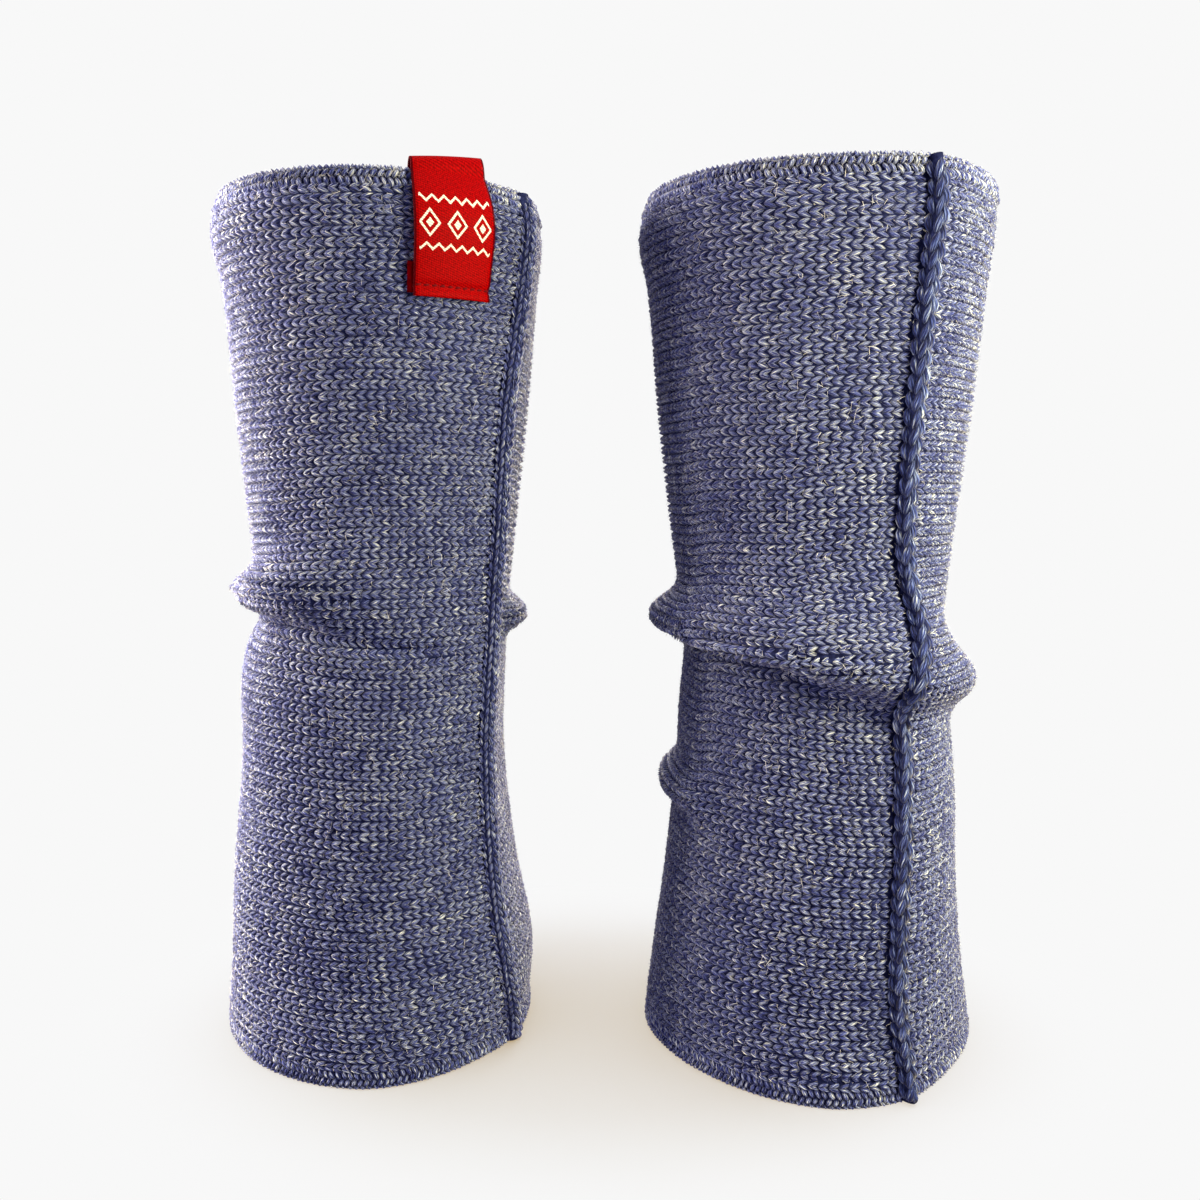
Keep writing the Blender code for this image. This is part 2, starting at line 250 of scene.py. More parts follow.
# Cloth surface, from the same sizes as the solids. Azimuth 0 is the front, 90 the right.
clothGrid = {"meridians": 241, "samples": 601, "columns": 421, "standing": 200.0, "cornerReach": 17.0}
sectionNames = ("height", "left", "right", "front", "back", "square", "corner", "seam")
foldNames = (
    "azimuth", "spreadLeft", "spreadRight", "height", "tilt", "highSide", "reach",
    "below", "slack", "above", "longer",
)
leftTube = {
    "name": "left",
    "centre": (-52.2, 6.0),
    "rimDip": 1.6,
    "stitches": 114,
    "rows": 86,
    "sections": (
        (0.0, 39.8, 34.4, 44.4, 41.5, 1.85, 1.0, 59.0),
        (5.0, 39.8, 34.4, 44.4, 41.5, 1.85, 1.0, 59.0),
        (16.0, 38.6, 35.2, 43.3, 41.5, 1.95, 1.5, 53.0),
        (40.0, 37.0, 31.0, 41.5, 41.0, 2.1, 2.2, 48.0),
        (70.0, 33.8, 28.0, 40.0, 40.5, 2.2, 2.5, 47.5),
        (90.0, 33.2, 28.7, 39.5, 40.0, 2.2, 2.5, 49.0),
        (96.0, 31.8, 29.0, 39.2, 40.0, 2.2, 2.5, 50.0),
        (102.0, 28.8, 29.3, 39.0, 40.0, 2.2, 2.5, 50.8),
        (118.0, 30.0, 31.0, 39.5, 40.0, 2.2, 2.5, 51.5),
        (150.0, 33.0, 34.6, 40.5, 40.5, 2.2, 2.5, 51.8),
        (180.0, 35.5, 37.2, 42.0, 41.0, 2.2, 2.0, 59.0),
        (192.0, 37.5, 38.2, 43.0, 41.5, 2.2, 1.5, 61.0),
        (200.0, 35.0, 36.5, 41.5, 41.0, 2.1, 1.0, 62.5),
    ),
    "folds": (
        (-110.0, 110.0, 140.0, 109.9, 0.0, 0.0, 7.0, 8.2, 4.6, 9.6, 10.0),
        (115.0, 55.0, 80.0, 102.0, 0.0, 0.0, 5.0, 8.0, 0.0, 9.0, 0.0),
    ),
    # fold or 0 for the floor, length above it at both ends, from azimuth, to azimuth, depth, half width
    "creases": (
        (1, 1.0, 2.3, -150.0, 8.0, 1.4, 0.6),
        (1, -1.6, -0.8, -150.0, 12.0, 1.4, 0.6),
        (1, -6.0, -14.5, -70.0, 42.0, 1.6, 1.8),
        (1, -17.0, -21.0, -45.0, 20.0, 0.6, 1.6),
    ),
}
rightTube = {
    "name": "right",
    "centre": (51.3, -1.0),
    "rimDip": 0.6,
    "stitches": 116,
    "rows": 89,
    "sections": (
        (0.0, 38.6, 40.4, 46.0, 44.0, 1.72, 2.0, 21.0),
        (5.0, 38.4, 40.0, 46.0, 44.0, 1.72, 2.0, 20.5),
        (16.0, 37.0, 37.8, 44.3, 43.8, 1.95, 2.0, 18.0),
        (40.0, 33.7, 34.9, 43.5, 43.0, 2.1, 2.0, 17.0),
        (56.0, 31.9, 34.0, 42.7, 42.2, 2.2, 2.0, 18.0),
        (63.0, 31.2, 33.7, 42.5, 42.0, 2.2, 2.0, 18.0),
        (80.0, 30.4, 31.9, 42.0, 42.0, 2.2, 2.0, 18.0),
        (95.0, 29.3, 29.2, 42.0, 42.0, 2.2, 2.0, 16.5),
        (105.0, 30.4, 29.8, 42.5, 42.0, 2.2, 2.0, 18.5),
        (115.0, 31.8, 30.7, 43.0, 42.0, 2.2, 2.0, 16.5),
        (150.0, 36.1, 34.9, 44.5, 43.0, 2.2, 2.0, 17.0),
        (180.0, 38.8, 37.8, 45.5, 44.0, 2.2, 3.0, 19.0),
        (192.0, 40.7, 39.2, 46.0, 44.0, 2.2, 3.0, 20.0),
        (200.0, 38.3, 39.0, 44.8, 43.5, 2.1, 3.0, 20.0),
    ),
    "folds": (
        (-40.0, 130.0, 170.0, 95.9, 5.9, -90.0, 8.2, 10.0, 5.2, 14.0, 14.0),
        (-90.0, 60.0, 60.0, 62.0, 0.0, 0.0, 4.2, 7.5, 0.0, 8.5, 0.0),
    ),
    "creases": (
        (1, 1.8, 2.8, -95.0, -15.0, 1.3, 0.55),
        (1, -0.8, 3.8, -80.0, 20.0, 1.0, 0.55),
        (1, -4.2, 1.0, -58.0, 20.0, 0.9, 0.55),
        (1, -7.0, -14.5, -85.0, 25.0, 1.4, 2.4),
        (0, 6.0, 6.0, -25.0, 20.0, 1.0, 0.6),
    ),
}
slack = {"start": 20.0, "width": 50.0}
frontWidth, creaseFade = 45.0, 18.0  # degrees
steepest = np.linspace(0.0, 1.95, 80)
seamLine = {"outward": 61, "shift": 41, "level": 0.4}  # samples evened over, share of the rise kept
lip = 0.8  # under 1 the cloth turns sharply at a crest and eases off away from it
turn = math.pi * np.linspace(0.0, 1.0, 121) ** lip
reachPerLength = np.array([np.mean(np.sin(steep * np.sin(turn))) for steep in steepest])


def wrapped(angle):
    return (np.asarray(angle) + 180.0) % 360.0 - 180.0


def smoothstep(x):
    x = np.clip(x, 0.0, 1.0)
    return x * x * (3.0 - 2.0 * x)


def sectionColumn(tube, name, height):
    table = np.array(tube["sections"])
    heights, values = table[:, 0], table[:, sectionNames.index(name)]
    slopes = np.gradient(values, heights)
    height = np.clip(height, heights[0], heights[-1])
    index = np.clip(np.searchsorted(heights, height, side="right") - 1, 0, len(heights) - 2)
    span = heights[index + 1] - heights[index]
    t = (height - heights[index]) / span
    return (
        (2 * t**3 - 3 * t**2 + 1) * values[index]
        + (t**3 - 2 * t**2 + t) * span * slopes[index]
        + (3 * t**2 - 2 * t**3) * values[index + 1]
        + (t**3 - t**2) * span * slopes[index + 1]
    )


def foldShare(fold, azimuth):
    off = wrapped(azimuth - fold["azimuth"])
    spread = np.where(off < 0.0, fold["spreadLeft"], fold["spreadRight"])
    x = np.clip(2.0 * np.abs(off) / spread - 1.0, 0.0, 1.0)
    return 1.0 - x * x * x * (x * (x * 6.0 - 15.0) + 10.0)


def sectionReach(tube, height, azimuth):
    angle = np.radians(azimuth)
    right, left = sectionColumn(tube, "right", height), sectionColumn(tube, "left", height)
    front, back = sectionColumn(tube, "front", height), sectionColumn(tube, "back", height)
    square = sectionColumn(tube, "square", height)
    side = np.where(np.sin(angle) > 0.0, right, left)
    face = np.where(np.cos(angle) > 0.0, front, back)
    reach = np.abs(np.sin(angle) / side) ** square + np.abs(np.cos(angle) / face) ** square
    off = wrapped(azimuth - sectionColumn(tube, "seam", height))
    corner = sectionColumn(tube, "corner", height) * np.exp(-((off / clothGrid["cornerReach"]) ** 2))
    return reach ** (-1.0 / square) + corner


def makePaths(tube):
    # Meridians of the cloth at even azimuths, folds included, each at even cloth lengths
    azimuth = np.linspace(-180.0, 180.0, clothGrid["meridians"])[:, None]
    share = np.linspace(0.0, 1.0, clothGrid["samples"])[None, :]
    folds = sorted((dict(zip(foldNames, row)) for row in tube["folds"]), key=lambda f: f["height"])
    taken = np.zeros_like(azimuth)
    bends = []
    for fold in folds:
        off = wrapped(azimuth - fold["azimuth"])
        reach = fold["reach"] * foldShare(fold, azimuth)
        height = fold["height"] + fold["tilt"] * np.cos(np.radians(azimuth - fold["highSide"]))
        spare = smoothstep((off - slack["start"]) / slack["width"])
        below = fold["below"] + fold["slack"] * spare
        above = fold["above"] + fold["longer"] * np.exp(-((azimuth / frontWidth) ** 2))
        steep, used = [], []
        for length in (below, above):
            angle = np.interp(np.minimum(reach / length, reachPerLength[-1]), reachPerLength, steepest)
            steep.append(angle)
            used.append(length * (1.0 - np.cos(angle[..., None] * np.sin(turn)).mean(axis=-1)))
        bends.append((height + taken + used[0], below, above, steep[0], steep[1]))
        taken = taken + used[0] + used[1]
    length = clothGrid["standing"] + taken
    along = share * length
    lean = np.zeros_like(along)
    for crest, below, above, steepBelow, steepAbove in bends:
        x = along - crest
        down, up = np.clip(-x / below, 0.0, 1.0), np.clip(x / above, 0.0, 1.0)
        lean += steepBelow * np.sin(math.pi * down**lip) - steepAbove * np.sin(math.pi * up**lip)
    step = np.diff(along, axis=1)
    middle = 0.5 * (lean[:, 1:] + lean[:, :-1])
    out = np.pad(np.cumsum(np.sin(middle) * step, axis=1), ((0, 0), (1, 0)))
    rise = np.pad(np.cumsum(np.cos(middle) * step, axis=1), ((0, 0), (1, 0)))
    rim = clothGrid["standing"] - tube["rimDip"] * np.sin(np.radians(azimuth)) ** 2
    rise *= rim / rise[:, -1:]
    out -= out[:, -1:] * share
    reach = sectionReach(tube, rise, azimuth + 0.0 * rise) + out
    x = tube["centre"][0] + reach * np.sin(np.radians(azimuth))
    y = tube["centre"][1] - reach * np.cos(np.radians(azimuth))
    crests = [bend[0][:, 0] for bend in bends]
    return azimuth[:, 0], np.stack((x, y, rise), axis=2), length[:, 0], crests


def clothNormals(points):
    # The first and the last column are the same line, so the step across runs round
    ahead = np.concatenate((points[:, 1:], points[:, 1:2]), axis=1)
    behind = np.concatenate((points[:, -2:-1], points[:, :-1]), axis=1)
    across = ahead - behind
    along = np.gradient(points, axis=0)
    normal = np.cross(across, along)
    return normal / np.linalg.norm(normal, axis=2, keepdims=True)


def evened(line, width, **edges):
    # Weighted running mean of a line of points
    kernel = np.hanning(width)
    line = np.pad(line, ((width // 2, width // 2), (0, 0)), **edges)
    sides = [np.convolve(line[:, i], kernel / kernel.sum(), "valid") for i in range(3)]
    return np.stack(sides, axis=1)


def makeCloth(tube):
    azimuths, paths, lengths, crests = makePaths(tube)
    rings = []
    for row in range(clothGrid["samples"]):
        points = paths[:, row]
        seam = float(sectionColumn(tube, "seam", points[:, 2].mean()))
        turned = (azimuths[:-1] - seam) % 360.0
        order = np.argsort(turned)
        points, turned = points[:-1][order], turned[order]
        part = turned[0] / (turned[0] + 360.0 - turned[-1])
        start = points[0] + (points[-1] - points[0]) * part
        points = np.vstack((start, points, start))
        reached = np.concatenate(([0.0], np.cumsum(np.linalg.norm(np.diff(points, axis=0), axis=1))))
        places = np.linspace(0.0, reached[-1], clothGrid["columns"])
        rings.append(np.stack([np.interp(places, reached, points[:, i]) for i in range(3)], axis=1))
    points = np.array(rings)
    normals = clothNormals(points)
    azimuth = np.degrees(
        np.arctan2(points[..., 0] - tube["centre"][0], tube["centre"][1] - points[..., 1])
    )
    share = np.linspace(0.0, 1.0, clothGrid["samples"])[:, None]
    along = share * np.interp(azimuth, azimuths, lengths)
    dent = np.zeros_like(azimuth)
    for fold, atLow, atHigh, low, high, depth, width in tube["creases"]:
        place = atLow + (atHigh - atLow) * np.clip((azimuth - low) / (high - low), 0.0, 1.0)
        if fold:
            place += np.interp(azimuth, azimuths, crests[len(crests) - fold])
        run = smoothstep((azimuth - low) / creaseFade) * smoothstep((high - azimuth) / creaseFade)
        dent += depth * run * np.exp(-(((along - place) / width) ** 2))
    points = points - normals * dent[..., None]
    tube["points"] = points
    tube["normals"] = clothNormals(points)
    tube["azimuth"] = azimuth
    tube["girth"] = np.linalg.norm(np.diff(points, axis=1), axis=2).sum(axis=1)
    tube["length"] = float(lengths.mean())
    # At the seam: the way out and the shift of its path, evened so that the ridge stays whole
    # in the folds. Each is a grid of two equal columns.
    outward = evened(tube["normals"][:, 0], seamLine["outward"], mode="edge")
    outward[:, 2] *= seamLine["level"]
    outward /= np.linalg.norm(outward, axis=1, keepdims=True)
    line = points[:, 0]
    shift = evened(line, seamLine["shift"], mode="reflect", reflect_type="odd") - line
    tube["outward"] = np.stack((outward, outward), axis=1)
    tube["bridging"] = np.stack((shift, shift), axis=1)
    print(tube["name"], "cloth", tube["girth"].mean().round(1), "round,", round(tube["length"], 1), "long")


def gridRead(grid, row, column):
    low = np.clip(np.floor(row).astype(int), 0, grid.shape[0] - 2)
    side = np.clip(np.floor(column).astype(int), 0, grid.shape[1] - 2)
    a, b = (row - low)[:, None], (column - side)[:, None]
    first = grid[low, side] * (1 - b) + grid[low, side + 1] * b
    second = grid[low + 1, side] * (1 - b) + grid[low + 1, side + 1] * b
    return first * (1 - a) + second * a


def onCloth(tube, across, along, out):
    # across and along are shares of the cloth from the seam and the floor, out is in millimetres
    row = np.clip(along, 0.0, 1.0) * (clothGrid["samples"] - 1)
    column = (across % 1.0) * (clothGrid["columns"] - 1)
    normal = gridRead(tube["normals"], row, column)
    normal /= np.linalg.norm(normal, axis=1, keepdims=True)
    return gridRead(tube["points"], row, column) + normal * out[:, None]


for tube in (leftTube, rightTube):
    makeCloth(tube)

# Yarns. Each colour stop is a fibre shade of the heather.
heatherShades = (
    (0.0, "#090B26"), (0.22, "#1E2458"), (0.42, "#444B83"),
    (0.58, "#70789B"), (0.74, "#A9ACAA"), (1.0, "#E8E2CE"),
)
seamShades = (
    (0.0, "#080A20"), (0.3, "#181D47"), (0.5, "#2F3A6C"),
    (0.68, "#5A6690"), (0.84, "#939BA6"), (1.0, "#D2CFC4"),
)


def yarnMaterial(name, shades, plies, bias):
    # Plied wool blend: matt, each ply its own shade, with fine fibres along it and a soft sheen. Painted
    # shade darkens the grooves between the plies and the dips where a strand runs under the next one, and
    # a painted highlight lightens each strand's crest. The bias sets the yarn's tone in all, lower for
    # deeper.
    made, tree, shader = newMaterial(name, 0.88, 0.3, "#F4EAD4")
    tint = addNode(tree, "ShaderNodeAttribute", {"attribute_name": "heather"})
    lane = clothPlace(tree)
    split = axesOf(tree, lane)
    tone = addNode(tree, "ShaderNodeSeparateColor", inputs={0: tint.outputs["Color"]})
    twist = mathNode(tree, "MULTIPLY", split[0], -2.0)
    twist = mathNode(tree, "MULTIPLY_ADD", split[1], plies, twist)
    cell = {0: mathNode(tree, "FLOOR", twist), 1: mathNode(tree, "FLOOR", split[0]), 2: tone.outputs[2]}
    key = addNode(tree, "ShaderNodeCombineXYZ", inputs=cell)
    plyShade = addNode(
        tree, "ShaderNodeTexWhiteNoise", {"noise_dimensions": "3D"}, {"Vector": key.outputs[0]}
    )
    groove = mathNode(tree, "ABSOLUTE", mathNode(tree, "SINE", mathNode(tree, "MULTIPLY", twist, math.pi)))
    stretch = addNode(tree, "ShaderNodeMapping", inputs={"Vector": lane, "Scale": (1.3, 8.0, 1.0)})
    fibres = noiseOf(tree, stretch.outputs[0], 1.0, 2.0, 0.6)
    patches = noiseOf(tree, objectPlace(tree), 90.0, 2.0)
    mix = mathNode(tree, "MULTIPLY_ADD", tone.outputs[0], 0.12, bias)
    mix = mathNode(tree, "MULTIPLY_ADD", plyShade.outputs["Value"], 0.3, mix)
    mix = mathNode(tree, "MULTIPLY_ADD", fibres, 2.05, mix)
    mix = mathNode(tree, "MULTIPLY_ADD", patches, 0.2, mix)
    colour = rampOf(tree, mix, shades)
    # Painted shade: the colour is darkened in the grooves between the plies
    paintedGrooveShade = mathNode(tree, "MINIMUM", mathNode(tree, "MULTIPLY_ADD", groove, 0.95, 0.2), 1.0)
    # Painted shade and painted highlight: the colour is scaled by the strand's rise, darker where it dips
    # under the next one and lighter on its crest
    sunk = mathNode(tree, "MULTIPLY_ADD", tone.outputs[1], 1.25, 0.3)
    depth = mathNode(tree, "MINIMUM", mathNode(tree, "MULTIPLY", paintedGrooveShade, sunk), 1.3)
    shaded = addNode(tree, "ShaderNodeVectorMath", {"operation": "SCALE"}, {0: colour, "Scale": depth})
    tree.links.new(shaded.outputs[0], shader.inputs["Base Color"])
    addBump(tree, shader, mathNode(tree, "MULTIPLY_ADD", fibres, 0.5, groove), 0.6, 0.15)
    return made


heatherYarn = yarnMaterial("Heather wool yarn", heatherShades, 4.2, -0.91)
rimYarn = yarnMaterial("Heather wool rim yarn", heatherShades, 3.4, -0.86)
hemYarn = yarnMaterial("Heather wool hem yarn", heatherShades, 3.4, -0.91)
beadYarn = yarnMaterial("Dark heather seam yarn", heatherShades, 3.4, -0.94)
chainYarn = yarnMaterial("Deep blue seam yarn", seamShades, 4.4, -0.88)


def groundMaterial():
    # Yarn behind the stitches: shaded, so darker, with the same fibres
    made, tree, shader = newMaterial("Shaded yarn ground", 0.95)
    fibres = noiseOf(tree, objectPlace(tree), 900.0, 3.0)
    shades = ((0.3, "#0B0D22"), (0.5, "#171B3A"), (0.75, "#2B3158"))
    tree.links.new(rampOf(tree, fibres, shades), shader.inputs["Base Color"])
    addBump(tree, shader, fibres, 0.7, 0.2)
    return made


groundYarn = groundMaterial()


def fuzzMaterial():
    # Loose wool ends: matt, from pale blue to cream
    made, tree, shader = newMaterial("Loose wool fibre", 0.95)
    tint = addNode(tree, "ShaderNodeAttribute", {"attribute_name": "heather"})
    tone = addNode(tree, "ShaderNodeSeparateColor", inputs={0: tint.outputs["Color"]})
    shades = ((0.0, "#5B628F"), (0.35, "#A9A9B5"), (0.7, "#D9D1C1"), (1.0, "#EFE8DA"))
    tree.links.new(rampOf(tree, tone.outputs[0], shades), shader.inputs["Base Color"])
    return made


fuzzFibre = fuzzMaterial()


def purlMaterial():
    # Inside of the tube: the purl face, small bumps in rows across the stitch columns
    made, tree, shader = newMaterial("Purl side knit", 0.9, 0.25, "#E9E2D2")
    knit = (leftTube["stitches"], leftTube["rows"], 1.0)
    cells = addNode(tree, "ShaderNodeMapping", inputs={"Vector": clothPlace(tree), "Scale": knit})
    split = axesOf(tree, cells.outputs[0])
    rowPhase = mathNode(tree, "MULTIPLY", split[1], 2 * math.pi)
    shift = mathNode(tree, "MULTIPLY", mathNode(tree, "SINE", rowPhase), 0.18)
    arch = mathNode(tree, "MULTIPLY", mathNode(tree, "ADD", split[0], shift), 2 * math.pi)
    loops = mathNode(tree, "SINE", arch)
    halfRows = mathNode(tree, "SINE", mathNode(tree, "MULTIPLY", rowPhase, 2.0))
    height = mathNode(tree, "MULTIPLY_ADD", mathNode(tree, "ADD", loops, halfRows), 0.25, 0.5)
    mix = mathNode(tree, "MULTIPLY_ADD", noiseOf(tree, cells.outputs[0], 3.0, 3.0), 0.8, -0.15)
    # The bumps' height also goes into the colour: painted shade between the bumps and a painted highlight
    # on their tops
    mix = mathNode(tree, "MULTIPLY_ADD", height, 0.35, mix)
    tree.links.new(rampOf(tree, mix, heatherShades), shader.inputs["Base Color"])
    addBump(tree, shader, height, 1.0, 0.7)
    return made


purlKnit = purlMaterial()


def readPoints(piece):
    points = np.empty(len(piece.data.vertices) * 3)
    piece.data.vertices.foreach_get("co", points)
    return points.reshape(-1, 3)


def writePoints(piece, points):
    piece.data.vertices.foreach_set("co", np.ascontiguousarray(points, dtype=np.float32).ravel())
    piece.data.update()


def choose(*items):
    bpy.ops.object.select_all(action="DESELECT")
    for item in items:
        item.select_set(True)
    bpy.context.view_layer.objects.active = items[0]


def addGrid(name, columns, rows):
    # Flat grid from 0 to 1 each way, shaped afterwards
    bpy.ops.object.select_all(action="DESELECT")
    bpy.ops.mesh.primitive_grid_add(x_subdivisions=columns, y_subdivisions=rows, size=1.0)
    piece = bpy.context.object
    piece.name = name
    piece.data.name = name
    points = readPoints(piece)
    return piece, points[:, 0] + 0.5, points[:, 1] + 0.5


def mergePoints(piece, distance):
    choose(piece)
    bpy.ops.object.mode_set(mode="EDIT")
    bpy.ops.mesh.select_all(action="SELECT")
    bpy.ops.mesh.remove_doubles(threshold=distance)
    bpy.ops.object.mode_set(mode="OBJECT")


def thicken(piece, thickness, inside=0):
    # The given number is added to the material slot of the inner side
    solidify = piece.modifiers.new("Thickness", "SOLIDIFY")
    solidify.thickness = thickness * mm
    solidify.offset = -1.0
    solidify.material_offset = inside
    choose(piece)
    bpy.ops.object.modifier_apply(modifier=solidify.name)


def finishPiece(piece, nodes=()):
    choose(piece)
    bpy.ops.object.shade_smooth()
    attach(piece, "root")
    if nodes:
        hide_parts(*nodes)


# Ground of each tube: the cloth between and behind the stitches, and its inside
ground = {"columns": 120, "rows": 120, "out": -0.25, "thickness": 0.9}


def makeGround(tube):
    piece, across, along = addGrid(tube["name"] + "_knit_cloth", ground["columns"], ground["rows"])
    out = np.full(len(across), ground["out"])
    writePoints(piece, onCloth(tube, np.minimum(across, 1.0 - 1e-9), along, out) * mm)
    mergePoints(piece, 0.02 * mm)
    thicken(piece, ground["thickness"], inside=1)
    piece.data.materials.append(groundYarn)
    piece.data.materials.append(purlKnit)
    finishPiece(piece, [tube["name"] + "_panel"])
    return piece


# One leg of a stitch: a plump strand that dips under its neighbours at both ends
def makeLeg(name, leg):
    piece, s, t = addGrid(name, leg["segments"], 2)
    bow = np.sin(math.pi * s ** leg["skew"])
    climb = s + leg["curl"] * (smoothstep(s) - s)
    width = leg["width"] * np.maximum(bow, 0.0) ** leg["taper"]
    side = (t - 0.5) * width
    x = leg["start"][0] + s * leg["run"] - side * leg["slant"]
    y = leg["start"][1] + climb * leg["climb"] + side
    crown = 1.0 - (2.0 * t - 1.0) ** 2
    plump = leg["shoulder"] + (1.0 - leg["shoulder"]) * crown
    z = leg["low"] + (leg["high"] - leg["low"]) * bow**0.8 * plump
    writePoints(piece, np.stack((x, y, z), axis=1))
    mergePoints(piece, 1e-4)
    return piece


def mirroredPair(piece):
    # A second leg on the other side of the line, turned the right way out, joined to the first
    choose(piece)
    bpy.ops.object.duplicate()
    other = bpy.context.object
    points = readPoints(other)
    points[:, 1] *= -1.0
    writePoints(other, points)
    bpy.ops.object.mode_set(mode="EDIT")
    bpy.ops.mesh.select_all(action="SELECT")
    bpy.ops.mesh.flip_normals()
    bpy.ops.object.mode_set(mode="OBJECT")
    return joined([piece, other], piece.name)


def joined(items, name):
    choose(*items)
    bpy.ops.object.join()
    items[0].name = name
    return items[0]


def repeat(piece, count, step, uStep, vStep):
    array = piece.modifiers.new("Repeat", "ARRAY")
    array.count = count
    array.use_relative_offset = False
    array.use_constant_offset = True
    array.constant_offset_displace = step
    array.offset_u = uStep
    array.offset_v = vStep
    choose(piece)
    bpy.ops.object.modifier_apply(modifier=array.name)


def riseOf(height, leg):
    # 0 where a strand dips under the next one, 1 on its crest
    return np.clip((height - leg["low"]) / (leg["high"] - leg["low"]), 0.0, 1.0)


def paintHeather(piece, tone, rise, key):
    # The second channel holds the strand's rise, which the yarn material turns into painted shade in the
    # dips and a painted highlight on the crests
    colours = np.stack((tone, rise, key, np.ones_like(tone)), axis=1).astype(np.float32)
    layer = piece.data.color_attributes.new("heather", "FLOAT_COLOR", "POINT")
    layer.data.foreach_set("color", colours.ravel())


def heatherTones(columns, rows):
    # The yarn runs across the rows, so its shade drifts from row to row in each column
    kernel, spare, spread = np.array([0.25, 1.0, 0.25]), 3, 0.2
    tones = rng.normal(0.0, 1.0, (columns, 2 * (rows + spare)))
    tones = np.apply_along_axis(lambda line: np.convolve(line, kernel, "same"), 1, tones)
    tones = tones[:, spare:-spare] / math.sqrt((kernel**2).sum())
    return np.clip(0.5 + spread * tones, 0.0, 1.0)


stitch = {
    "pitch": 2.15,
    "rowPitch": 2.37,
    "bottomEdge": 3.4,
    "topEdge": 3.0,
    "seamMargin": 1.9,
    "jitter": 0.06,
    "rowShift": 0.35,
    "wave": (0.5, 37.0, 0.31, 0.9),  # size, stitches to a wave, its drift and the drift's rate
    "leg": {
        "segments": 5, "curl": 0.0, "taper": 0.65, "start": (-0.4, -0.06), "run": 3.0, "skew": 0.85,
        "climb": 1.16, "width": 1.0, "slant": 0.4, "low": -0.5, "high": 0.65, "shoulder": 0.25,
    },
}


def makeStitches(tube, name, firstRow, rowCount, tones):
    piece = makeLeg(name, stitch["leg"])
    legPoints = len(piece.data.vertices)
    piece = mirroredPair(piece)
    stitchPoints = len(piece.data.vertices)
    repeat(piece, tube["stitches"], (stitch["pitch"], 0.0, 0.0), 1.0, 0.0)
    repeat(piece, rowCount, (0.0, stitch["rowPitch"], 0.0), 0.0, 1.0)
    points = readPoints(piece)
    index = np.arange(len(points))
    stitchIndex = index // stitchPoints
    column = stitchIndex % tube["stitches"]
    row = stitchIndex // tube["stitches"]
    leg = (index % stitchPoints) // legPoints
    legIndex = stitchIndex * 2 + leg
    legTotal = int(legIndex.max()) + 1
    nudge = rng.normal(0.0, stitch["jitter"], (legTotal, 3))
    points += nudge[legIndex]
    size, period, drift, rate = stitch["wave"]
    wave = size * np.sin(2 * math.pi * (column / period + drift * np.sin((row + firstRow) * rate)))
    wave += rng.uniform(-stitch["rowShift"], stitch["rowShift"], rowCount)[row]
    x = (points[:, 0] + wave) / (stitch["pitch"] * tube["stitches"])
    y = (points[:, 1] + stitch["rowPitch"] * (firstRow + 0.5)) / (stitch["rowPitch"] * tube["rows"])
    margin = stitch["seamMargin"] / tube["girth"].mean()
    low = stitch["bottomEdge"] / clothGrid["standing"]
    high = 1.0 - stitch["topEdge"] / clothGrid["standing"]
    across = margin + x * (1.0 - 2.0 * margin)
    along = low + y * (high - low)
    writePoints(piece, onCloth(tube, across, along, points[:, 2]) * mm)
    tone = tones[column, np.clip((row + firstRow) * 2 + leg, 0, tones.shape[1] - 1)]
    keys = rng.uniform(0.0, 1.0, legTotal)
    paintHeather(piece, tone, riseOf(points[:, 2], stitch["leg"]), keys[legIndex])
    piece.data.materials.append(heatherYarn)
    finishPiece(piece)
    return piece


def makeKnit(tube):
    cloth = makeGround(tube)
    tones = heatherTones(tube["stitches"], tube["rows"])
    half = tube["rows"] // 2
    lower = makeStitches(tube, tube["name"] + "_knit_stitches_lower", 0, half, tones)
    upper = makeStitches(tube, tube["name"] + "_knit_stitches_upper", half, tube["rows"] - half, tones)
    print(tube["name"], "stitches", tube["stitches"] * tube["rows"])
    return cloth, [lower, upper]


# Edges: rows of short slanted strands that turn over the rim and under the hem
def levelOutward(tube, across, along):
    outward = onCloth(tube, across, along, 0.0 * across + 1.0) - onCloth(tube, across, along, 0.0 * across)
    outward[:, 2] = 0.0
    return outward / np.linalg.norm(outward, axis=1, keepdims=True)


def onRim(tube, across, up, out):
    # up is the length from the foot of the edge band: up the outside, then over the rim
    straight, radius, strand, most = 2.5, 0.55, 0.9, math.pi * 0.9
    outward, upward = levelOutward(tube, across, np.ones_like(across)), np.array([0.0, 0.0, 1.0])
    bend = np.clip((up - straight) / (radius + strand), 0.0, most)[:, None]
    level = np.minimum(up, straight) - straight
    wall = onCloth(tube, across, 1.0 + level / clothGrid["standing"], 0.0 * out)
    turned = outward * np.cos(bend) + upward * np.sin(bend)
    return wall + turned * (radius + out)[:, None] - upward * radius


def onHem(tube, across, down, out):
    # down is the length from the top of the hem band to the floor and in under it
    height, radius, strand, most, offFloor = 3.4, 0.9, 0.6, math.pi * 0.55, 0.06
    level = np.maximum(height - down, radius) / clothGrid["standing"]
    bend = np.clip((down - (height - radius)) / (radius + strand), 0.0, most)
    wall = onCloth(tube, across, level, 0.0 * out)
    place = wall + levelOutward(tube, across, level) * (out * np.cos(bend))[:, None]
    place[:, 2] = np.maximum(wall[:, 2] - np.sin(bend) * (radius + 0.2 * out), offFloor)
    return place


edge = {
    "pitch": 1.45,
    "jitter": 0.07,
    "leg": {
        "segments": 5, "curl": 0.5, "skew": 1.0, "taper": 0.45, "run": 2.3,
        "width": 1.25, "slant": 0.0, "low": -0.5, "high": 0.85, "shoulder": 0.3,
    },
}
